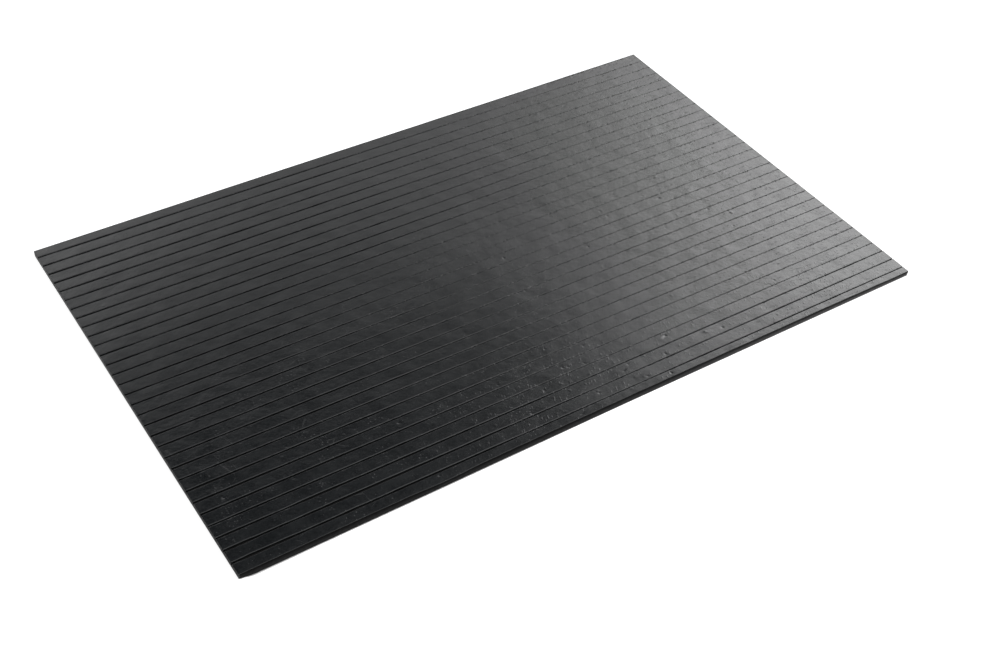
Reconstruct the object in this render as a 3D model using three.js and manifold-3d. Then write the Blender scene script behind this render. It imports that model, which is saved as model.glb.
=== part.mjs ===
// Ribbed rubber doormat, a plain piece cut from a roll of black broad-ribbed sheet.
// Millimetres. X runs along the ribs, Y across them, +Z up.
// The origin is the middle of the flat underside.
import * as THREE from 'three';
import { mergeVertices } from 'three/addons/utils/BufferGeometryUtils.js';
import Module from 'manifold-3d';

// The cut piece
const matLength = 800;
const matWidth = 500;
const matThickness = 7;

// The ribs of the sheet, with a narrow groove between each two
const ribPitch = 15.82;
const grooveWidth = 1.3;
const grooveDepth = 2.2;
const ribEdgeRadius = 0.8;
const grooveFloorRadius = 0.5;

// The piece was cut a little askew, so the outermost ribs taper from end to end
const ribSkewDegrees = -0.4;
const farRibWidth = 15.3;
const narrowestLastRib = 5;

// How the rounds are cut into flats, the most of a groove that one round may take up,
// how far the uncut sheet and the cuts reach past the mat, and how close two corners are one
const edgeSteps = 4;
const floorSteps = 2;
const largestRoundShare = 0.45;
const overhang = 20;
const mergeDistance = 1e-4;

// Groove section from left to right, centred on y, as points from one rib top to the next
function groovePoints(y) {
  const halfWidth = grooveWidth / 2;
  const edge = Math.min(ribEdgeRadius, largestRoundShare * grooveDepth);
  const floor = Math.min(grooveFloorRadius, largestRoundShare * grooveWidth, largestRoundShare * grooveDepth);
  const top = matThickness;
  const bottom = matThickness - grooveDepth;
  const half = [];
  for (let i = 0; i <= edgeSteps; i += 1) {
    const angle = (i / edgeSteps) * (Math.PI / 2);
    half.push([halfWidth + edge - edge * Math.sin(angle), top - edge + edge * Math.cos(angle)]);
  }
  for (let i = 0; i <= floorSteps; i += 1) {
    const angle = (i / floorSteps) * (Math.PI / 2);
    half.push([halfWidth - floor + floor * Math.cos(angle), bottom + floor - floor * Math.sin(angle)]);
  }
  const left = half.map(([dy, z]) => new THREE.Vector2(y - dy, z));
  const right = half.map(([dy, z]) => new THREE.Vector2(y + dy, z)).reverse();
  return left.concat(right);
}

// Groove places, counted back from the far cut as they lie at mid-length
function groovePlaces() {
  const places = [];
  for (let y = matWidth / 2 - farRibWidth; y > -matWidth / 2 + narrowestLastRib; y -= ribPitch) {
    places.unshift(y);
  }
  return places;
}

// Section of the uncut sheet across its ribs, flat underneath
function sheetSection() {
  const reach = matWidth / 2 + overhang;
  const top = groovePlaces().flatMap(groovePoints);
  return new THREE.Shape([
    new THREE.Vector2(reach, 0),
    new THREE.Vector2(reach, matThickness),
    ...top.reverse(),
    new THREE.Vector2(-reach, matThickness),
    new THREE.Vector2(-reach, 0),
  ]);
}

// The uncut sheet lies along X with its ribs turned by the skew of the cut
function uncutSheet() {
  const length = matLength + 2 * overhang;
  const geometry = new THREE.ExtrudeGeometry(sheetSection(), { depth: length, bevelEnabled: false, steps: 1 });
  geometry.translate(0, 0, -length / 2);
  const extrusionToSheet = new THREE.Matrix4().makeBasis(
    new THREE.Vector3(0, 1, 0),
    new THREE.Vector3(0, 0, 1),
    new THREE.Vector3(1, 0, 0),
  );
  geometry.applyMatrix4(extrusionToSheet);
  geometry.rotateZ(THREE.MathUtils.degToRad(ribSkewDegrees));
  return geometry;
}

// The block inside the four straight cuts, which run clear through the sheet
function cutBlock() {
  const geometry = new THREE.BoxGeometry(matLength, matWidth, matThickness + 2 * overhang);
  geometry.translate(0, 0, matThickness / 2);
  return geometry;
}

// Joins and cuts
const wasm = await Module();
wasm.setup();

function toSolid(geometry) {
  const bare = geometry.clone();
  bare.deleteAttribute('normal');
  bare.deleteAttribute('uv');
  const merged = mergeVertices(bare, mergeDistance);
  return new wasm.Manifold(new wasm.Mesh({
    numProp: 3,
    vertProperties: new Float32Array(merged.attributes.position.array),
    triVerts: new Uint32Array(merged.index.array),
  }));
}

function toGeometry(solid) {
  const mesh = solid.getMesh();
  const geometry = new THREE.BufferGeometry();
  geometry.setAttribute('position', new THREE.BufferAttribute(new Float32Array(mesh.vertProperties), 3));
  geometry.setIndex(new THREE.BufferAttribute(new Uint32Array(mesh.triVerts), 1));
  return geometry;
}

// Flat normals for every face, so that the rib edges stay crisp
function faceted(geometry) {
  const flat = geometry.toNonIndexed();
  flat.computeVertexNormals();
  return flat;
}

const blackRubber = new THREE.MeshStandardMaterial({
  name: 'black_rubber',
  color: 0x1b1d1e,
  roughness: 0.5,
  metalness: 0,
  flatShading: true,
});

function ribbedMat() {
  const solid = toSolid(uncutSheet()).intersect(toSolid(cutBlock()));
  const mesh = new THREE.Mesh(faceted(toGeometry(solid)), blackRubber);
  mesh.name = 'ribbed_rubber_mat';
  return mesh;
}

const doormat = new THREE.Group();
doormat.name = 'rubber_doormat';
doormat.add(ribbedMat());

export default doormat;
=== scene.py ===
import math

import bmesh
import bpy
import numpy as np
from mathutils import Matrix, Vector


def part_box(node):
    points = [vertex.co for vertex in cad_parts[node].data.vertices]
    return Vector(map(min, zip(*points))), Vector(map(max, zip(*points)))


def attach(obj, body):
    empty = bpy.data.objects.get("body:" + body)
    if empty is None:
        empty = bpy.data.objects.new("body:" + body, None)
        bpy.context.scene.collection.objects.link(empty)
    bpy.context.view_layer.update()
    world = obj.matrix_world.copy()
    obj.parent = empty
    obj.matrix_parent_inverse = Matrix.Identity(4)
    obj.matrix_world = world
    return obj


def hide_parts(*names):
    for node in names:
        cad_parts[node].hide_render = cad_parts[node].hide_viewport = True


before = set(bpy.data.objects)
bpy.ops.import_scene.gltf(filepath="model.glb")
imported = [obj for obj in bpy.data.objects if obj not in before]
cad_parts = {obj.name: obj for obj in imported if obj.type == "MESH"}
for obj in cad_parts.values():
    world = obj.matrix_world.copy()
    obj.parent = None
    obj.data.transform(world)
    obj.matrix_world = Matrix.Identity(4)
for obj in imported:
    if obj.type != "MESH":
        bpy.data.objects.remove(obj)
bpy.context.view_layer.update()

# Millimetres are used for the small sizes below, and metres for the scene
MM = 0.001

# The mat, from its node's box
MAT_NODE = "ribbed_rubber_mat"
mat_low, mat_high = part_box(MAT_NODE)
LENGTH = mat_high[0] - mat_low[0]
WIDTH = mat_high[1] - mat_low[1]
THICKNESS = mat_high[2] - mat_low[2]
HALF_LENGTH = LENGTH / 2
HALF_WIDTH = WIDTH / 2

# Ribs and grooves, placed as in the solid
RIB_PITCH = 15.82 * MM
FAR_RIB = 15.3 * MM
RIB_SKEW = math.radians(-0.4)
GROOVE_COUNT = 31
GROOVE_DEPTH = 2.2 * MM

# The grooves stand open at the left and are pressed almost shut towards the right
OPEN_SLIT = 1.3 * MM
SHUT_SLIT = 0.1 * MM
OPEN_EDGE = 0.85 * MM
SHUT_EDGE = 0.27 * MM
FLOOR_ROUND_SHARE = 0.4
SLIT_WANDER = 0.10 * MM
LEAST_SLIT = 0.04 * MM
WORN_FAR_EDGE = 0.33 * MM
WORN_NEAR_EDGE = -0.55
EDGE_UNEVEN = 0.25
WEAR_UNEVEN = 0.4

# How far the far cut and the two ends lie outside the straight sides, and the rounds of the cut edges
FAR_OUT = 0.25 * MM
END_OUT = 0.2 * MM
END_PLACE = HALF_LENGTH + END_OUT
FRONT_ROUND = 0.3 * MM
FAR_ROUND = 0.3 * MM
END_ROUND = 0.15 * MM

# The knife was led by hand along the front: how far the cut leaves the straight side, outwards
FRONT_BOW = 1.0 * MM
FRONT_HOLLOW = -0.6 * MM
FRONT_CORNER = 0.4 * MM
CORNER_FROM = 0.25
CORNER_TO = 0.37
FRONT_SLIP = 1.3 * MM
SLIP_PLACE = -0.190
SLIP_REACH = 0.03
FRONT_UNEVEN = 0.15 * MM

# The foot of the front cut spreads outwards, with a burr, and both draw in at the left corner
FOOT_OUT_RIGHT = 0.9 * MM
FOOT_OUT_LEFT = 2.4 * MM
BURR_OUT = 1.2 * MM
BURR_CORNER = 0.6 * MM
BURR_HEIGHT = 0.5 * MM
PULL_LEAST = 0.25
PULL_FROM = -0.400
PULL_TO = -0.386

# The last rib sags a little towards the front cut
DROOP_FROM = 0.2405
DROOP_LEFT = 0.3 * MM
DROOP_RIGHT = 0.1 * MM

# The sheet isn't quite flat: long sags and short swells, kept below its full thickness
SAG_HEIGHT = 0.10
SWELL_HEIGHT = 0.05
LIFT_MIDDLE = -0.15

# How finely the sheet is divided
COLUMNS = 160
TOP_ROWS = 5
FLAT_MARGIN = 0.3 * MM
ROUND_ROWS = 3
WALL_ROWS = 3


def ripple(count, shortest, longest, seed):
    """Smooth surface noise of about -1 to 1: a sum of waves with lengths between the two, in metres."""
    draw = np.random.default_rng(seed)
    lengths = shortest * (longest / shortest) ** draw.random(count)
    angles = draw.random(count) * math.tau
    phases = draw.random(count) * math.tau
    weights = (lengths / longest) ** 0.5
    weights = weights / np.sqrt(np.sum(weights**2) / 2) / 2

    def height(x, y):
        total = np.zeros(np.broadcast(x, y).shape)
        for length, angle, phase, weight in zip(lengths, angles, phases, weights):
            along = (x * math.cos(angle) + y * math.sin(angle)) * math.tau / length
            total += weight * np.sin(along + phase)
        return total

    return height


sag = ripple(14, 0.12, 0.4, 5)
swell = ripple(60, 0.012, 0.06, 7)
edge_wander = ripple(30, 0.012, 0.08, 11)
cut_wander = ripple(24, 0.008, 0.05, 13)
slit_wander = ripple(40, 0.010, 0.03, 17)


def smooth(value, low, high):
    """Goes smoothly from 0 at low to 1 at high."""
    share = np.clip((value - low) / (high - low), 0, 1)
    return share * share * (3 - 2 * share)


# Where the grooves stand open, in metres from the middle of the mat
OPEN_LEFT_NEAR = -0.15
OPEN_LEFT_FAR = 0.01
OPEN_LEFT_BLEND = 0.2

# How far they stand open: at the left, in the last three grooves, and in the near half
OPEN_NEAR_SHARE = 1.35
OPEN_FAR_SHARE = 0.85
LAST_THREE_SHARE = 0.36
LAST_THREE_LEFT_SHARE = 0.25
NEAR_SIDE_SHARE = 0.11
NEAR_MIDDLE_SHARE = 0.21


def openness(x, y):
    """How far a groove stands open, from 0, pressed shut, to about 1."""
    edge = OPEN_LEFT_NEAR + (OPEN_LEFT_FAR - OPEN_LEFT_NEAR) * smooth(y, 0.03, 0.09)
    left = 1 - smooth(x, edge - OPEN_LEFT_BLEND, edge + OPEN_LEFT_BLEND)
    left = left * (OPEN_NEAR_SHARE + (OPEN_FAR_SHARE - OPEN_NEAR_SHARE) * smooth(y, -0.1, 0.1))
    in_last_three = smooth(-y, 0.197, 0.204)
    off_left = smooth(x, -0.36, -0.12)
    front_band = LAST_THREE_LEFT_SHARE + (LAST_THREE_SHARE - LAST_THREE_LEFT_SHARE) * off_left
    mid_length = smooth(x, -0.10, 0.0) * (1 - smooth(x, 0.10, 0.25))
    near_side = NEAR_SIDE_SHARE + (NEAR_MIDDLE_SHARE - NEAR_SIDE_SHARE) * mid_length
    return left + in_last_three * front_band + near_side * smooth(-y, -0.03, 0.10)


def near_left(x, y):
    """Where the ribs are most worn and dusty, from 0 to 1."""
    along = (0.45 + 0.55 * smooth(x, -0.30, -0.08)) * (1 - smooth(x, -0.10, 0.28))
    return along * (1 - smooth(y, -0.08, 0.04))


def column_places():
    """X of each column of points, closer together at the rounded ends."""
    reach = END_PLACE - END_ROUND - FLAT_MARGIN
    inner = np.linspace(-reach, reach, COLUMNS)
    steps = np.radians([0, 45, 90])
    start = -END_PLACE + END_ROUND * (1 - np.cos(steps))
    return np.concatenate([start, inner, -start[::-1]])


def end_drop(x):
    """How far the top falls at the rounded ends."""
    past = np.clip(np.abs(x) - (END_PLACE - END_ROUND), 0, END_ROUND)
    return END_ROUND - np.sqrt(END_ROUND**2 - past**2)


def front_droop(x, y):
    """How far the last rib sags towards the front cut, most at the left."""
    past = np.clip((-y - DROOP_FROM) / (HALF_WIDTH - DROOP_FROM), 0, 1.2)
    return (DROOP_LEFT + (DROOP_RIGHT - DROOP_LEFT) * smooth(x, -0.2, 0.1)) * past**2


def groove_centre(k, x):
    """Y of the middle of groove k, counted from the far cut, where it passes x."""
    return HALF_WIDTH - FAR_RIB - k * RIB_PITCH + math.tan(RIB_SKEW) * x


def front_top(x):
    """How far the top edge of the front cut lies outside the straight side."""
    bow = FRONT_HOLLOW + (FRONT_BOW - FRONT_HOLLOW) * (x / HALF_LENGTH) ** 2
    bow = bow + FRONT_CORNER * smooth(x, CORNER_FROM, CORNER_TO)
    slip = FRONT_SLIP * np.exp(-(((x - SLIP_PLACE) / SLIP_REACH) ** 2))
    return bow + slip + FRONT_UNEVEN * cut_wander(x, 0 * x)


def corner_pull(x):
    """Share of the foot and its burr that is left as they draw in at the left corner."""
    return PULL_LEAST + (1 - PULL_LEAST) * smooth(x, PULL_FROM, PULL_TO)


def front_foot(x):
    """How far the bottom edge of the front cut lies outside the straight side."""
    out = FOOT_OUT_RIGHT + (FOOT_OUT_LEFT - FOOT_OUT_RIGHT) * smooth(-x, 0, HALF_LENGTH)
    return out * corner_pull(x)


def front_burr(x):
    """How far the burr reaches past the foot of the front cut, only in the left half."""
    burr = BURR_OUT * (1 - smooth(x, -0.20, 0.05)) + BURR_CORNER * (1 - smooth(x, -0.39, -0.30))
    return burr * corner_pull(x)


def groove_half(half_slit, edge):
    """One side of a groove as (distance from its middle, drop), from the flat down to the floor."""
    half = []
    for angle in np.linspace(0, math.pi / 2, ROUND_ROWS + 1)[1:]:
        half.append((half_slit + edge * (1 - math.sin(angle)), edge * (1 - math.cos(angle))))
    half.append((half_slit, GROOVE_DEPTH - FLOOR_ROUND_SHARE * half_slit))
    half.append(((1 - FLOOR_ROUND_SHARE) * half_slit, GROOVE_DEPTH))
    return half


def section_rows(x):
    """The section at every x as rows of (y, drop below the top), from the far foot to the front one."""
    rows = []
    ones = np.ones_like(x)
    front_edge = -HALF_WIDTH - front_top(x)
    front_base = -HALF_WIDTH - front_foot(x)

    def add(y, drop):
        rows.append((y * ones, drop * ones))

    far_cut = HALF_WIDTH + FAR_OUT
    for i in range(WALL_ROWS):
        share = i / WALL_ROWS
        add(far_cut, THICKNESS + (FAR_ROUND - THICKNESS) * share)
    for angle in np.linspace(0, math.pi / 2, ROUND_ROWS + 1)[:-1]:
        add(far_cut - FAR_ROUND * (1 - math.cos(angle)), FAR_ROUND * (1 - math.sin(angle)))
    far = (far_cut - FAR_ROUND) * ones
    for k in range(GROOVE_COUNT + 1):
        last = k == GROOVE_COUNT
        centre = groove_centre(k, x)
        uneven = 1 + EDGE_UNEVEN * edge_wander(x, centre) + EDGE_UNEVEN * edge_wander(0.2 * x, centre + 1)
        opening = openness(x, centre) * uneven
        slit = SHUT_SLIT + (OPEN_SLIT - SHUT_SLIT) * opening
        half_slit = (slit + SLIT_WANDER * slit_wander(x, centre)) / 2
        half_slit = np.maximum(half_slit, LEAST_SLIT / 2)
        edge = SHUT_EDGE + (OPEN_EDGE - SHUT_EDGE) * np.sqrt(np.clip(opening, 0, 1))
        worn = near_left(x, centre) * (1 + WEAR_UNEVEN * edge_wander(0.25 * x, centre + 2))
        far_edge = edge + WORN_FAR_EDGE * worn
        near_edge = edge * (1 + WORN_NEAR_EDGE * np.clip(2 * worn, 0, 1))
        near = front_edge + FRONT_ROUND if last else centre + half_slit + far_edge
        add(far, 0)
        for share in np.linspace(0, 1, TOP_ROWS - 1):
            add(far - FLAT_MARGIN + (near - far + 2 * FLAT_MARGIN) * share, 0)
        add(near, 0)
        if last:
            break
        for out, drop in groove_half(half_slit, far_edge):
            add(centre + out, drop)
        for out, drop in groove_half(half_slit, near_edge)[::-1]:
            add(centre - out, drop)
        far = centre - half_slit - near_edge
    for angle in np.linspace(0, math.pi / 2, ROUND_ROWS + 1)[1:]:
        add(front_edge + FRONT_ROUND * (1 - math.sin(angle)), FRONT_ROUND * (1 - math.cos(angle)))
    for i in range(1, WALL_ROWS):
        share = i / (WALL_ROWS - 1)
        drop = FRONT_ROUND + (THICKNESS - BURR_HEIGHT - FRONT_ROUND) * share
        add(front_edge + (front_base - front_edge) * share, drop)
    add(front_base - front_burr(x), THICKNESS)
    return np.array([y for y, _ in rows]), np.array([drop for _, drop in rows])


# Order of the mat's materials
RIBBED_FACE = 0
CUT_FACE = 1
GROOVE_WALL = 2

# The clearest nicks of the ribbed face, in millimetres from the middle of the mat
CLEAR_NICKS = [
    (-363, 106), (-370, 131), (-351, 169), (-375, -166), (-373, -236),
    (-119, -190), (-59, -213), (-14, -152), (-120, -164), (-146, -192),
    (-46, -235), (7, -224), (38, -239), (62, -243), (76, -245),
    (4, -206), (46, -213), (88, -220), (389, 43), (297, 37),
    (309, 28), (297, -73), (324, -84), (241, -11), (339, -32),
]
# Fields of smaller nicks: middle and spread in metres, and how many
NICK_FIELDS = [
    ((0.03, -0.215), (0.13, 0.022), 110),
    ((0.24, -0.08), (0.12, 0.12), 50),
    ((-0.25, -0.15), (0.10, 0.07), 30),
]
NICK_CUTS = 4
CLEAR_NICK_SIZE = 1.4
END_MARGIN = 6 * MM
SIDE_MARGIN = 4 * MM
TOP_LAYER = 0.4 * MM
NICK_LAYER = 1 * MM


def nick_places():
    """The nicks as (x, y, half length, half width, turn, height), in metres, dents below zero."""
    draw = np.random.default_rng(31)
    places = [(x * MM, y * MM, CLEAR_NICK_SIZE) for x, y in CLEAR_NICKS]
    for (x, y), (spread_x, spread_y), count in NICK_FIELDS:
        for _ in range(count):
            places.append((x + spread_x * draw.normal(), y + spread_y * draw.normal(), 1.0))
    nicks = []
    for x, y, size in places:
        half_length = size * draw.uniform(0.8, 1.7) * MM
        half_width = half_length * draw.uniform(0.45, 0.9)
        turn = draw.uniform(0, math.pi)
        height = half_width * draw.uniform(0.20, 0.42) * draw.choice([-1, -1, 1])
        rib = ((HALF_WIDTH - FAR_RIB + math.tan(RIB_SKEW) * x - y) / RIB_PITCH) % 1
        from_groove = min(rib, 1 - rib) * RIB_PITCH
        inside = abs(x) < HALF_LENGTH - END_MARGIN and abs(y) < HALF_WIDTH - SIDE_MARGIN
        if inside and from_groove > half_length + OPEN_SLIT:
            nicks.append((x, y, half_length, half_width, turn, height))
    return nicks


def nick_reach(x, y, nick):
    """Distance from a nick's middle, as a share of its outline."""
    cx, cy, half_length, half_width, turn, _ = nick
    along = (x - cx) * math.cos(turn) + (y - cy) * math.sin(turn)
    across = (y - cy) * math.cos(turn) - (x - cx) * math.sin(turn)
    return np.hypot(along / half_length, across / half_width)


def cut_nicks(mesh):
    """Divides the sheet finely around each nick and presses the nick in."""
    nicks = nick_places()
    centres = np.empty(len(mesh.polygons) * 3)
    mesh.polygons.foreach_get("center", centres)
    centres = centres.reshape(-1, 3)
    on_top = centres[:, 2] > THICKNESS - TOP_LAYER
    chosen = np.zeros(len(centres), bool)
    for nick in nicks:
        reach_x = nick[2] + LENGTH / COLUMNS / 2
        reach_y = nick[2] + RIB_PITCH / TOP_ROWS / 2
        near = (np.abs(centres[:, 0] - nick[0]) < reach_x) & (np.abs(centres[:, 1] - nick[1]) < reach_y)
        chosen |= near & on_top
    work = bmesh.new()
    work.from_mesh(mesh)
    work.faces.ensure_lookup_table()
    edges = {edge for i in np.flatnonzero(chosen) for edge in work.faces[i].edges}
    bmesh.ops.subdivide_edges(work, edges=list(edges), cuts=NICK_CUTS, use_grid_fill=True)
    work.to_mesh(mesh)
    work.free()
    points = np.empty(len(mesh.vertices) * 3)
    mesh.vertices.foreach_get("co", points)
    points = points.reshape(-1, 3)
    for nick in nicks:
        reach = nick_reach(points[:, 0], points[:, 1], nick)
        inside = (reach < 1) & (points[:, 2] > THICKNESS - NICK_LAYER)
        points[inside, 2] += nick[5] * (1 - reach[inside] ** 2) ** 2
    points[:, 2] = np.minimum(points[:, 2], THICKNESS)
    mesh.vertices.foreach_set("co", points.ravel())
    mesh.update()


def mat_mesh():
    """The whole sheet as one closed mesh: a skin of rows along the ribs, its ends and its underside."""
    x = column_places()
    y, drop = section_rows(x)
    xx = np.broadcast_to(x, y.shape)
    lift = (SAG_HEIGHT * sag(xx, y) + SWELL_HEIGHT * swell(xx, y) + LIFT_MIDDLE) * MM
    top_share = np.clip(1 - drop / THICKNESS, 0, 1)
    z = THICKNESS - drop + top_share * (lift - end_drop(xx) - front_droop(xx, y))
    z = np.clip(z, 0, THICKNESS)
    points = np.stack([xx, y, z], axis=-1).reshape(-1, 3)
    rows, columns = y.shape
    index = np.arange(rows * columns).reshape(rows, columns)
    corners = [index[:-1, :-1], index[1:, :-1], index[1:, 1:], index[:-1, 1:]]
    quads = np.stack(corners, axis=-1).reshape(-1, 4)
    finish = np.full((rows - 1, columns - 1), RIBBED_FACE)
    deep = (drop[:-1, :-1] + drop[1:, :-1]) / 2 > GROOVE_DEPTH / 2
    finish[deep] = GROOVE_WALL
    finish[:WALL_ROWS] = CUT_FACE
    finish[-WALL_ROWS:] = CUT_FACE
    faces = [tuple(q) for q in quads.tolist()]
    faces.append(tuple(index[::-1, 0].tolist()))
    faces.append(tuple(index[:, -1].tolist()))
    faces.append(tuple(index[0, :].tolist()) + tuple(index[-1, ::-1].tolist()))
    mesh = bpy.data.meshes.new("mat_mesh")
    mesh.from_pydata(points.tolist(), [], faces)
    mesh.polygons.foreach_set("material_index", np.append(finish.ravel(), [CUT_FACE] * 3).astype(np.int32))
    cut_nicks(mesh)
    mesh.shade_smooth()
    mesh.set_sharp_from_angle(angle=math.radians(50))
    return mesh


def node(tree, kind, place, **values):
    """A new node, with each value given to the input of that name or else to the setting."""
    made = tree.nodes.new(kind)
    made.location = place
    for name, value in values.items():
        if name in made.inputs:
            made.inputs[name].default_value = value
        else:
            setattr(made, name, value)
    return made


def math_node(tree, operation, place, *inputs):
    """The result of a sum whose inputs are sockets or plain numbers."""
    made = node(tree, "ShaderNodeMath", place, operation=operation)
    for socket, value in zip(made.inputs, inputs):
        if isinstance(value, bpy.types.NodeSocket):
            tree.links.new(value, socket)
        else:
            socket.default_value = value
    return made.outputs[0]


def ease(tree, value, low, high, place):
    """Goes smoothly from 0 where value is low to 1 where it is high."""
    made = node(tree, "ShaderNodeMapRange", place, interpolation_type="SMOOTHSTEP")
    tree.links.new(value, made.inputs["Value"])
    made.inputs["From Min"].default_value = low
    made.inputs["From Max"].default_value = high
    return made.outputs["Result"]


def start_material(name):
    """An empty material with only its shader and output."""
    material = bpy.data.materials.new(name)
    material.use_nodes = True
    tree = material.node_tree
    tree.nodes.clear()
    out = node(tree, "ShaderNodeOutputMaterial", (900, 0))
    shader = node(tree, "ShaderNodeBsdfPrincipled", (600, 0))
    tree.links.new(shader.outputs["BSDF"], out.inputs["Surface"])
    return material, tree, shader


def noise(tree, where, scale, detail, place, stretch=(1, 1, 1), roughness=0.5):
    """Cloudy noise from 0 to 1, with scale in cells per metre."""
    x, y = place
    spread = node(tree, "ShaderNodeVectorMath", (x, y), operation="MULTIPLY")
    tree.links.new(where, spread.inputs[0])
    spread.inputs[1].default_value = stretch
    made = node(tree, "ShaderNodeTexNoise", (x + 180, y), Scale=scale, Detail=detail, Roughness=roughness)
    tree.links.new(spread.outputs[0], made.inputs["Vector"])
    return made.outputs["Fac"]


def blend_colour(tree, share, low, high, place):
    """Goes from the low colour where share is 0 to the high one where it is 1."""
    made = node(tree, "ShaderNodeMix", place, data_type="RGBA")
    tree.links.new(share, made.inputs["Factor"])
    made.inputs[6].default_value = low
    made.inputs[7].default_value = high
    return made.outputs[2]


def surface_relief(tree, shader, height, place):
    """Bump from a height in metres."""
    bump = node(tree, "ShaderNodeBump", place, Strength=1.0, Distance=1.0)
    tree.links.new(height, bump.inputs["Height"])
    tree.links.new(bump.outputs["Normal"], shader.inputs["Normal"])


def scaled(tree, value, factor, place):
    """A value times a plain number."""
    return math_node(tree, "MULTIPLY", place, value, factor)


def groove_distance(tree, split, place):
    """Distance to the nearest groove's middle, in metres."""
    x, y = place
    slant = math_node(tree, "MULTIPLY", (x, y - 160), split.outputs["X"], math.tan(RIB_SKEW))
    across = math_node(tree, "SUBTRACT", (x + 160, y), split.outputs["Y"], slant)
    across = math_node(tree, "SUBTRACT", (x + 320, y), across, HALF_WIDTH - FAR_RIB)
    pitches = math_node(tree, "DIVIDE", (x + 480, y), across, RIB_PITCH)
    nearest = math_node(tree, "ROUND", (x + 640, y - 160), pitches)
    off = math_node(tree, "SUBTRACT", (x + 800, y), pitches, nearest)
    off = math_node(tree, "ABSOLUTE", (x + 960, y), off)
    return math_node(tree, "MULTIPLY", (x + 1120, y), off, RIB_PITCH)


def specks(tree, where, scale, low, high, share, place, stretch=(1, 1, 1)):
    """Scattered dots in a share of the cells: 1 inside the low radius and 0 past the high one."""
    x, y = place
    spread = node(tree, "ShaderNodeVectorMath", (x, y), operation="MULTIPLY")
    tree.links.new(where, spread.inputs[0])
    spread.inputs[1].default_value = stretch
    cells = node(tree, "ShaderNodeTexVoronoi", (x + 180, y), Scale=scale)
    tree.links.new(spread.outputs[0], cells.inputs["Vector"])
    dots = ease(tree, cells.outputs["Distance"], high, low, (x + 360, y))
    pick = node(tree, "ShaderNodeSeparateXYZ", (x + 360, y - 160))
    tree.links.new(cells.outputs["Color"], pick.inputs[0])
    picked = math_node(tree, "LESS_THAN", (x + 540, y - 160), pick.outputs["X"], share)
    return math_node(tree, "MULTIPLY", (x + 720, y), dots, picked)


# Relief of the ribbed face: heights in metres, and scales in cells per metre
WAVE_HEIGHT = 0.22 * MM
WAVE_SCALE = 45
WAVES_MORE_DUSTY = 1.1
WAVES_MORE_RIGHT = 0.6
GRAIN_HEIGHT = 0.034 * MM
GRAIN_SCALE = 900
STREAK_HEIGHT = -0.07 * MM
STREAK_SCALE = 260
PIT_HEIGHT = -0.10 * MM
PIT_SCALE = 330
PIT_FIELD_SCALE = 38
TICK_HEIGHT = 0.055 * MM
TICK_SCALE = 260
TICK_TURN = math.radians(25)
TEAR_HEIGHT = -0.16 * MM
TEAR_SCALE = 300
LIP_INNER = 0.6 * MM
LIP_OUTER = 1.7 * MM

# Colours of the rubber, of the bloom and dust on it, and of the grooves
DEEP_BLACK = (0.0008, 0.0016, 0.0024, 1)
BLOOM = (0.0070, 0.0081, 0.0090, 1)
DUST = (0.040, 0.041, 0.041, 1)
GROOVE_BLACK = (0.002, 0.002, 0.002, 1)
GROOVE_DIRT = (0.006, 0.006, 0.006, 1)
BLACK = (0.0, 0.0, 0.0, 1)
WHITE = (1.0, 1.0, 1.0, 1)

# How much of the dust lies everywhere, and how much more where the face is dusty
DUST_EVERYWHERE = 0.12
DUST_MORE = 0.8
SCUFF_SHARE = 0.5

# Roughness of the ribbed face, from its glossiest to its dullest patches, and where it is worn smoother
GLOSSY = 0.175
DULL = 0.225
WORN_SMOOTHER = -0.03


def face_parts(tree, split):
    """Shares from 0 to 1: dusty near left, near half, streaked right and marked along the front."""
    to_left = ease(tree, split.outputs["X"], 0.05, -0.30, (-2200, 600))
    to_front = ease(tree, split.outputs["Y"], 0.06, -0.10, (-2200, 400))
    dusty = math_node(tree, "MULTIPLY", (-2000, 500), to_left, to_front)
    to_right = ease(tree, split.outputs["X"], -0.05, 0.30, (-2200, 200))
    along_front = ease(tree, split.outputs["Y"], -0.11, -0.19, (-2200, 0))
    from_left = ease(tree, split.outputs["X"], -0.30, -0.10, (-2200, -180))
    marked = math_node(tree, "MULTIPLY", (-2000, -100), along_front, from_left)
    return dusty, to_front, to_right, marked


def moulded_waves(tree, where, dusty, to_right):
    """Waves of the moulded face, stronger where it is dusty and towards the right."""
    waves = noise(tree, where, WAVE_SCALE, 7, (-1700, 0), roughness=0.6)
    rough_share = math_node(tree, "MULTIPLY_ADD", (-1900, 200), dusty, WAVES_MORE_DUSTY, 1.0)
    rough_share = math_node(tree, "MULTIPLY_ADD", (-1700, 200), to_right, WAVES_MORE_RIGHT, rough_share)
    waves = math_node(tree, "MULTIPLY", (-1300, 0), waves, rough_share)
    return scaled(tree, waves, WAVE_HEIGHT, (-1100, 0))


def right_streaks(tree, where, to_right):
    """Streaks along the ribs towards the right."""
    streaks = noise(tree, where, STREAK_SCALE, 3, (-1700, -400), stretch=(0.28, 1, 1))
    streaks = ease(tree, streaks, 0.58, 0.70, (-1300, -400))
    streaks = math_node(tree, "MULTIPLY", (-1100, -400), streaks, to_right)
    return scaled(tree, streaks, STREAK_HEIGHT, (-900, -400))


def small_pits(tree, where):
    """Small pits in loose fields."""
    pits = specks(tree, where, PIT_SCALE, 0.10, 0.26, 0.7, (-2100, -640))
    fields = noise(tree, where, PIT_FIELD_SCALE, 3, (-2100, -860))
    fields = ease(tree, fields, 0.50, 0.62, (-1300, -760))
    pits = math_node(tree, "MULTIPLY", (-1100, -640), pits, fields)
    return scaled(tree, pits, PIT_HEIGHT, (-900, -640))


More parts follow.
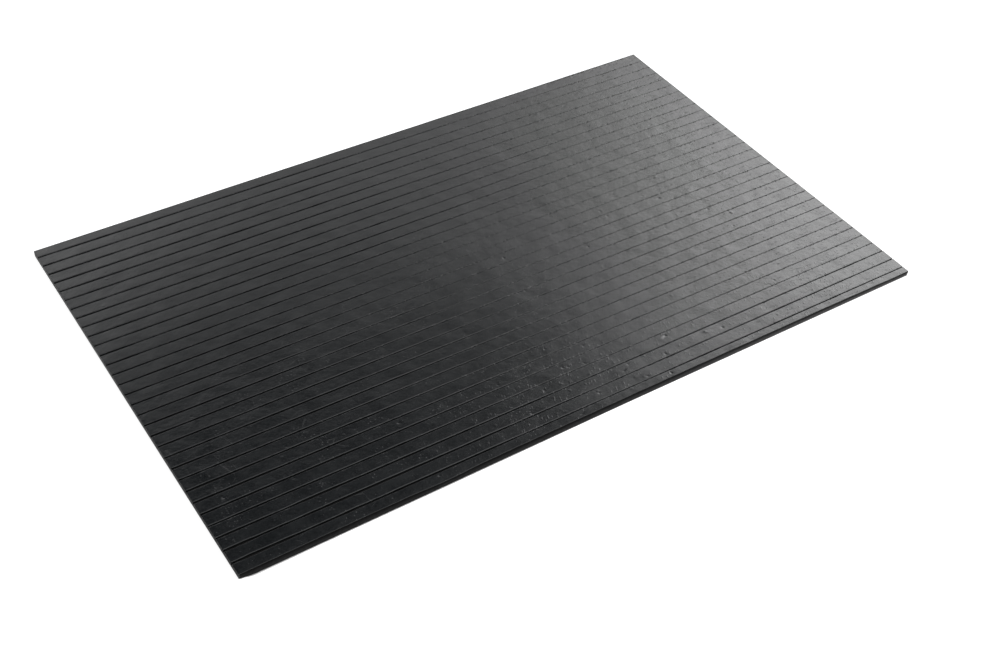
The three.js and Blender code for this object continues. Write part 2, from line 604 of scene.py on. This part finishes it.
def front_ticks(tree, where, marked):
    """Short marks across the ribs along the front."""
    turned = node(tree, "ShaderNodeVectorRotate", (-2300, -1040), rotation_type="Z_AXIS")
    tree.links.new(where, turned.inputs["Vector"])
    turned.inputs["Angle"].default_value = TICK_TURN
    along = turned.outputs["Vector"]
    ticks = specks(tree, along, TICK_SCALE, 0.12, 0.30, 0.55, (-2100, -1040), stretch=(1.2, 0.5, 1))
    ticks = math_node(tree, "MULTIPLY", (-1300, -1040), ticks, marked)
    return scaled(tree, ticks, TICK_HEIGHT, (-1100, -1040))


def torn_lips(tree, where, split):
    """Tears in the lips of the grooves."""
    distance = groove_distance(tree, split, (-2300, -1300))
    lips = ease(tree, distance, LIP_OUTER, LIP_INNER, (-1000, -1300))
    tears = noise(tree, where, TEAR_SCALE, 3, (-1500, -1500), stretch=(0.8, 1, 1))
    tears = ease(tree, tears, 0.52, 0.66, (-1000, -1500))
    tears = math_node(tree, "MULTIPLY", (-800, -1300), lips, tears)
    return scaled(tree, tears, TEAR_HEIGHT, (-600, -1300))


def bloomed_black(tree, where, dusty):
    """Black with a faint bloom, thicker where it is dusty."""
    bloom = noise(tree, where, 60, 6, (-700, 700), roughness=0.65)
    bloom = ease(tree, bloom, 0.36, 0.66, (-300, 700))
    fine_bloom = noise(tree, where, 420, 3, (-700, 900), roughness=0.7)
    fine_bloom = ease(tree, fine_bloom, 0.38, 0.64, (-300, 900))
    bloom = math_node(tree, "MULTIPLY_ADD", (-200, 800), fine_bloom, 0.9, bloom)
    dust_depth = math_node(tree, "MULTIPLY_ADD", (-300, 1000), dusty, 0.25, 0.5)
    bloom = math_node(tree, "MULTIPLY", (-100, 700), bloom, dust_depth)
    return blend_colour(tree, bloom, DEEP_BLACK, BLOOM, (100, 700))


def hairline_scuffs(tree, where):
    """Thin bent scuffs, seen only in some patches."""
    bent = node(tree, "ShaderNodeTexNoise", (-1500, 1400), Scale=30.0, Detail=2.0)
    tree.links.new(where, bent.inputs["Vector"])
    sway = node(tree, "ShaderNodeVectorMath", (-1300, 1400), operation="MULTIPLY")
    tree.links.new(bent.outputs["Color"], sway.inputs[0])
    sway.inputs[1].default_value = (0.02, 0.02, 0.0)
    swayed = node(tree, "ShaderNodeVectorMath", (-1100, 1400), operation="ADD")
    tree.links.new(where, swayed.inputs[0])
    tree.links.new(sway.outputs[0], swayed.inputs[1])
    web = node(tree, "ShaderNodeTexVoronoi", (-900, 1400), feature="DISTANCE_TO_EDGE", Scale=34.0)
    tree.links.new(swayed.outputs[0], web.inputs["Vector"])
    scuffs = ease(tree, web.outputs["Distance"], 0.014, 0.004, (-700, 1400))
    seen = ease(tree, noise(tree, where, 40, 2, (-1100, 1600)), 0.56, 0.66, (-700, 1600))
    return math_node(tree, "MULTIPLY", (-500, 1400), scuffs, seen)


def face_colour(tree, where, dusty):
    """Bloomed black under pale dust specks and scuffs."""
    colour = bloomed_black(tree, where, dusty)
    dots = specks(tree, where, 250, 0.04, 0.15, 0.35, (-1100, 1100))
    scuffs = scaled(tree, hairline_scuffs(tree, where), SCUFF_SHARE, (-340, 1400))
    pale = math_node(tree, "MAXIMUM", (-300, 1200), dots, scuffs)
    dust_share = math_node(tree, "MULTIPLY_ADD", (-300, 1050), dusty, DUST_MORE, DUST_EVERYWHERE)
    pale = math_node(tree, "MULTIPLY", (-100, 1100), pale, dust_share)
    dusted = node(tree, "ShaderNodeMix", (300, 700), data_type="RGBA")
    tree.links.new(pale, dusted.inputs["Factor"])
    tree.links.new(colour, dusted.inputs[6])
    dusted.inputs[7].default_value = DUST
    return dusted.outputs[2]


def face_roughness(tree, where, split, to_front):
    """Glossy and dull patches, smoother where the near left is worn."""
    dull = node(tree, "ShaderNodeMapRange", (0, 250))
    tree.links.new(noise(tree, where, 90, 4, (-700, 250), roughness=0.6), dull.inputs["Value"])
    dull.inputs["From Min"].default_value = 0.3
    dull.inputs["From Max"].default_value = 0.7
    dull.inputs["To Min"].default_value = GLOSSY
    dull.inputs["To Max"].default_value = DULL
    off_right = ease(tree, split.outputs["X"], 0.15, -0.10, (-200, 60))
    worn = math_node(tree, "MULTIPLY", (0, 60), off_right, to_front)
    worn = scaled(tree, worn, WORN_SMOOTHER, (160, 60))
    return math_node(tree, "ADD", (320, 250), dull.outputs["Result"], worn)


def ribbed_face_material():
    """Black rubber of the ribs, with relief, bloom, dust and uneven gloss."""
    material, tree, shader = start_material("ribbed_face_rubber")
    where = node(tree, "ShaderNodeTexCoord", (-2600, 0)).outputs["Object"]
    split = node(tree, "ShaderNodeSeparateXYZ", (-2400, -300))
    tree.links.new(where, split.inputs[0])
    dusty, to_front, to_right, marked = face_parts(tree, split)

    height = moulded_waves(tree, where, dusty, to_right)
    layers = [
        scaled(tree, noise(tree, where, GRAIN_SCALE, 3, (-1700, -200)), GRAIN_HEIGHT, (-1100, -200)),
        right_streaks(tree, where, to_right),
        small_pits(tree, where),
        front_ticks(tree, where, marked),
        torn_lips(tree, where, split),
    ]
    for column, layer in enumerate(layers):
        height = math_node(tree, "ADD", (-900 + 200 * column, 0), height, layer)
    surface_relief(tree, shader, height, (200, -300))

    tree.links.new(face_colour(tree, where, dusty), shader.inputs["Base Color"])
    tree.links.new(face_roughness(tree, where, split, to_front), shader.inputs["Roughness"])
    return material


# The cut faces are dull, and greyer at the foot and towards the right: painted light, for the floor's glow
# thrown up at the foot and the lamp standing close on the right
CUT_ROUGHNESS = 0.85
CUT_SPECULAR = 0.05
CUT_GRAIN_HEIGHT = 0.4 * MM
CUT_TOP_GREY = 0.003
CUT_FOOT_PAINTED_LIGHT = 0.020
CUT_RIGHT_PAINTED_LIGHT = 2.8
# Pale grey on the burr: a painted contact shadow of the floor at the front-left
BURR_PAINTED_SHADOW = 0.8
END_DUST = 0.09
END_DUST_SLOPE = 0.16
END_DUST_FROM = 1 * MM - HALF_LENGTH
END_DUST_FULL = 0.2 * MM - HALF_LENGTH

# The walls and floors of the grooves are dull too
GROOVE_ROUGHNESS = 0.7
GROOVE_SPECULAR = 0.1


def cut_face_material():
    """Torn black rubber of the knife cuts, grey in clouds, with painted light at the foot and towards the
    right and a painted shadow on the burr.
    """
    material, tree, shader = start_material("cut_face_rubber")
    shader.inputs["Roughness"].default_value = CUT_ROUGHNESS
    shader.inputs["Specular IOR Level"].default_value = CUT_SPECULAR
    where = node(tree, "ShaderNodeTexCoord", (-1400, 0)).outputs["Object"]
    split = node(tree, "ShaderNodeSeparateXYZ", (-1200, -300))
    tree.links.new(where, split.inputs[0])

    # Torn grain of the cut
    torn = noise(tree, where, 500, 4, (-1200, 0), stretch=(0.6, 0.6, 1), roughness=0.65)
    surface_relief(tree, shader, scaled(tree, torn, CUT_GRAIN_HEIGHT, (-700, -100)), (200, -300))

    # Grey in torn clouds, with painted light: lighter at the foot, where the floor's glow falls, and
    # towards the right, nearer the lamp
    to_foot = ease(tree, split.outputs["Z"], 0.9 * THICKNESS, 0.1 * THICKNESS, (-900, 400))
    to_right = ease(tree, split.outputs["X"], -0.2, 0.4, (-900, 600))
    share = math_node(tree, "MULTIPLY_ADD", (-700, 400), to_foot, CUT_FOOT_PAINTED_LIGHT, CUT_TOP_GREY)
    more = math_node(tree, "MULTIPLY_ADD", (-700, 600), to_right, CUT_RIGHT_PAINTED_LIGHT, 1.0)
    share = math_node(tree, "MULTIPLY", (-500, 500), share, more)
    cloud = math_node(tree, "MULTIPLY_ADD", (-500, 200), torn, 1.6, 0.2)
    share = math_node(tree, "MULTIPLY", (-300, 400), share, cloud)

    # Pale grey on the burr in the left half: a painted contact shadow, the grey fringe between the black
    # cut and the white floor
    burr = ease(tree, split.outputs["Z"], BURR_HEIGHT, 0.2 * BURR_HEIGHT, (-500, 800))
    at_left = ease(tree, split.outputs["X"], 0.05, -0.2, (-500, 1000))
    burr = math_node(tree, "MULTIPLY", (-300, 800), burr, at_left)
    share = math_node(tree, "MULTIPLY_ADD", (-150, 600), burr, BURR_PAINTED_SHADOW, share)

    # Dust on the left end, more towards the far side
    left_end = ease(tree, split.outputs["X"], END_DUST_FROM, END_DUST_FULL, (-500, 1200))
    end_dust = math_node(tree, "MULTIPLY_ADD", (-500, 1400), split.outputs["Y"], END_DUST_SLOPE, END_DUST)
    end_dust = math_node(tree, "MULTIPLY", (-300, 1200), left_end, end_dust)
    share = math_node(tree, "ADD", (-150, 1000), share, end_dust)
    colour = blend_colour(tree, share, BLACK, WHITE, (0, 400))
    tree.links.new(colour, shader.inputs["Base Color"])
    return material


def groove_wall_material():
    """Dull black down in the grooves, with a little dirt."""
    material, tree, shader = start_material("groove_wall_rubber")
    shader.inputs["Roughness"].default_value = GROOVE_ROUGHNESS
    shader.inputs["Specular IOR Level"].default_value = GROOVE_SPECULAR
    where = node(tree, "ShaderNodeTexCoord", (-1400, 0)).outputs["Object"]
    dirt = noise(tree, where, 180, 4, (-1200, 0), stretch=(0.5, 1, 1), roughness=0.6)
    dirt = ease(tree, dirt, 0.35, 0.70, (-700, 0))
    colour = blend_colour(tree, dirt, GROOVE_BLACK, GROOVE_DIRT, (0, 400))
    tree.links.new(colour, shader.inputs["Base Color"])
    return material


def build_mat():
    """The visible mat, in place of its solid."""
    mat = bpy.data.objects.new("doormat_sheet", mat_mesh())
    bpy.context.scene.collection.objects.link(mat)
    mat.data.materials.append(ribbed_face_material())
    mat.data.materials.append(cut_face_material())
    mat.data.materials.append(groove_wall_material())
    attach(mat, "root")
    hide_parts(MAT_NODE)
    return mat


# The studio floor, partly lit by itself so that it stays white
FLOOR_REACH = 6.0
FLOOR_GREY = 0.4
FLOOR_GLOW = 0.9


def build_floor():
    """A plain pale floor, which belongs to the stage and not to the mat."""
    mesh = bpy.data.meshes.new("floor_mesh")
    sides = [(-1, -1), (1, -1), (1, 1), (-1, 1)]
    corners = [(x * FLOOR_REACH, y * FLOOR_REACH, 0) for x, y in sides]
    mesh.from_pydata(corners, [], [(0, 1, 2, 3)])
    floor = bpy.data.objects.new("studio_floor", mesh)
    bpy.context.scene.collection.objects.link(floor)
    material = bpy.data.materials.new("pale_floor")
    material.use_nodes = True
    shader = material.node_tree.nodes["Principled BSDF"]
    shader.inputs["Base Color"].default_value = (FLOOR_GREY, FLOOR_GREY, FLOOR_GREY, 1)
    shader.inputs["Roughness"].default_value = 0.9
    shader.inputs["Specular IOR Level"].default_value = 0.1
    shader.inputs["Emission Color"].default_value = WHITE
    shader.inputs["Emission Strength"].default_value = FLOOR_GLOW
    floor.data.materials.append(material)


def heading(azimuth, elevation):
    """Direction to a light: azimuth in degrees from +Y towards +X, elevation above the floor."""
    a = math.radians(azimuth)
    e = math.radians(elevation)
    return math.sin(a) * math.cos(e), math.cos(a) * math.cos(e), math.sin(e)


# Soft glows of the studio: azimuth, elevation, how tight the glow is, and its strength
GLOWS = {
    "softbox_right": (49.8, 37.1, 174, 2.5),
    "gap_light_back": (9.1, 37.2, 203, 1.5),
    "panel_overhead": (103.8, 63.5, 13.6, 2.7),
    "front_fill": (180, 30, 3.0, 0.15),
}

# A tall light wall on the right, stronger towards +X and weak at its foot, in parts of a unit direction
WALL_STRENGTH = 8.5
WALL_FROM_X = 0.424
WALL_FULL_X = 0.948
WALL_FOOT_SHARE = 0.1
WALL_FOOT_TOP = 0.28
WALL_FULL_UP = 0.46
HORIZON = 0.0
ABOVE_HORIZON = 0.25

# A backdrop band behind the mat that fades out upwards, downwards and towards the front
BACKDROP_STRENGTH = 1.83
BAND_TOP = 0.754
BAND_TOP_FULL = 0.470
BAND_FOOT = 0.318
BAND_FOOT_FULL = 0.618
BEHIND_FROM = -0.1
BEHIND_FULL = 0.3

# Weak light from everywhere
DIM_LIGHT = 0.017


def glow(tree, direction, azimuth, elevation, tightness, strength, place):
    """A soft round patch of light in the studio's sky."""
    x, y = place
    toward = node(tree, "ShaderNodeVectorMath", (x, y), operation="DOT_PRODUCT")
    tree.links.new(direction, toward.inputs[0])
    toward.inputs[1].default_value = heading(azimuth, elevation)
    off = math_node(tree, "SUBTRACT", (x + 180, y), toward.outputs["Value"], 1.0)
    power = math_node(tree, "MULTIPLY", (x + 360, y), off, tightness)
    fall = math_node(tree, "EXPONENT", (x + 540, y), power)
    return math_node(tree, "MULTIPLY", (x + 720, y), fall, strength)


def backdrop_band(tree, split):
    """The band of light behind the mat."""
    up = split.outputs["Z"]
    band_top = ease(tree, up, BAND_TOP, BAND_TOP_FULL, (-900, 420))
    band_foot = ease(tree, up, BAND_FOOT, BAND_FOOT_FULL, (-900, 180))
    behind = ease(tree, split.outputs["Y"], BEHIND_FROM, BEHIND_FULL, (-900, -60))
    band = math_node(tree, "MULTIPLY", (-700, 300), band_top, band_foot)
    band = math_node(tree, "MULTIPLY", (-520, 300), band, behind)
    return math_node(tree, "MULTIPLY", (-340, 300), band, BACKDROP_STRENGTH)


def light_wall(tree, split):
    """The wall of light on the right."""
    up = split.outputs["Z"]
    to_right = ease(tree, split.outputs["X"], WALL_FROM_X, WALL_FULL_X, (-900, 660))
    above = ease(tree, up, HORIZON, ABOVE_HORIZON, (-900, 900))
    wall = math_node(tree, "MULTIPLY", (-700, 780), to_right, above)
    upper = ease(tree, up, WALL_FOOT_TOP, WALL_FULL_UP, (-900, 1140))
    upper = math_node(tree, "MULTIPLY_ADD", (-700, 1140), upper, 1 - WALL_FOOT_SHARE, WALL_FOOT_SHARE)
    wall = math_node(tree, "MULTIPLY", (-600, 900), wall, upper)
    return math_node(tree, "MULTIPLY", (-520, 780), wall, WALL_STRENGTH)


def build_lights():
    """A dark studio lit by a tall wall of light to the right, a backdrop band behind and soft panels."""
    world = bpy.data.worlds.new("studio")
    bpy.context.scene.world = world
    world.use_nodes = True
    tree = world.node_tree
    background = tree.nodes["Background"]
    direction = node(tree, "ShaderNodeTexCoord", (-1400, 0)).outputs["Generated"]
    split = node(tree, "ShaderNodeSeparateXYZ", (-1200, 300))
    tree.links.new(direction, split.inputs[0])
    band = backdrop_band(tree, split)
    wall = light_wall(tree, split)
    total = math_node(tree, "ADD", (-160, 500), band, wall)
    total = math_node(tree, "ADD", (0, 500), total, DIM_LIGHT)
    for row, (azimuth, elevation, tightness, strength) in enumerate(GLOWS.values()):
        part = glow(tree, direction, azimuth, elevation, tightness, strength, (-1200, -300 - 200 * row))
        total = math_node(tree, "ADD", (160 + 160 * row, 300 - 150 * row), total, part)
    tree.links.new(total, background.inputs["Strength"])
    background.inputs["Color"].default_value = WHITE


# Camera, as fitted to the mat's corners and grooves in the photo
CAMERA_PLACE = Vector((-0.6649, -0.9921, 1.0023 + THICKNESS))
CAMERA_TARGET = Vector((-0.0403, -0.1092, THICKNESS))
CAMERA_ROLL = math.radians(3.36)
LENS = 51.92
SENSOR = 36.0


def build_camera():
    """The photo's view, without blur."""
    data = bpy.data.cameras.new("camera")
    data.lens = LENS
    data.sensor_width = SENSOR
    data.sensor_fit = "HORIZONTAL"
    camera = bpy.data.objects.new("camera", data)
    bpy.context.scene.collection.objects.link(camera)
    look = (CAMERA_TARGET - CAMERA_PLACE).to_track_quat("-Z", "Y").to_matrix().to_4x4()
    roll = Matrix.Rotation(CAMERA_ROLL, 4, "Z")
    camera.matrix_world = Matrix.Translation(CAMERA_PLACE) @ look @ roll
    bpy.context.scene.camera = camera


build_camera()
build_floor()
build_lights()
build_mat()

# Colours are shown as they are, without a film look
bpy.context.scene.view_settings.view_transform = "Standard"
